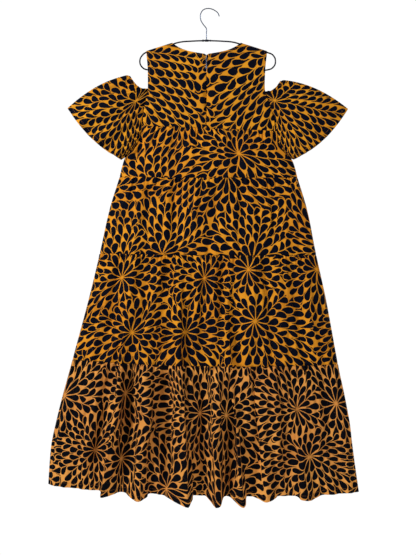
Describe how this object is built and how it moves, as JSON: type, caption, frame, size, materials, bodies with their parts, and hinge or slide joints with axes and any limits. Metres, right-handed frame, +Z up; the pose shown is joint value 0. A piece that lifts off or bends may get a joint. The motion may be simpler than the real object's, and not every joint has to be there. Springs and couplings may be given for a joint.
{
  "type": "tiered dress on a wire hanger",
  "caption": "Cold-shoulder dress of gathered tiers in a printed cotton, hanging open at neck, arms and hem on a wire hanger.",
  "frame": {"origin": "underside of the hook's crown, where a rail or nail carries the hanger", "axes": "+Z up, +X to the right as one looks at the garment's back, +Y towards the garment's front; the back, which the picture shows, faces -Y"},
  "size_m": [0.9307, 0.2064, 1.4748],
  "materials": {
    "print_cotton": "matte",
    "coated_wire": "satin",
    "bright_wire": "satin",
    "zip_enamel": "satin"
  },
  "bodies": {
    "dress": {"yoke_back_left": "print_cotton", "yoke_back_right": "print_cotton", "yoke_front": "print_cotton", "tier1_back": "print_cotton", "tier1_front": "print_cotton", "tier2_back": "print_cotton", "tier2_front": "print_cotton", "tier3_back": "print_cotton", "tier3_front": "print_cotton", "tier4_back": "print_cotton", "tier4_front": "print_cotton", "sleeve_left": "print_cotton", "sleeve_right": "print_cotton", "zip_slider": "zip_enamel", "hanger_frame": "coated_wire", "hanger_ferrule": "coated_wire", "hanger_hook": "bright_wire"},
    "zip_pull": {"zip_pull": "zip_enamel"}
  },
  "joints": [
    {"name": "zip_pull_swing", "type": "hinge", "parent": "dress", "child": "zip_pull", "pos_m": [-0.003, -0.01469, -0.152], "axis": [-1, 0, 0], "range_deg": [0, 150]}
  ]
}
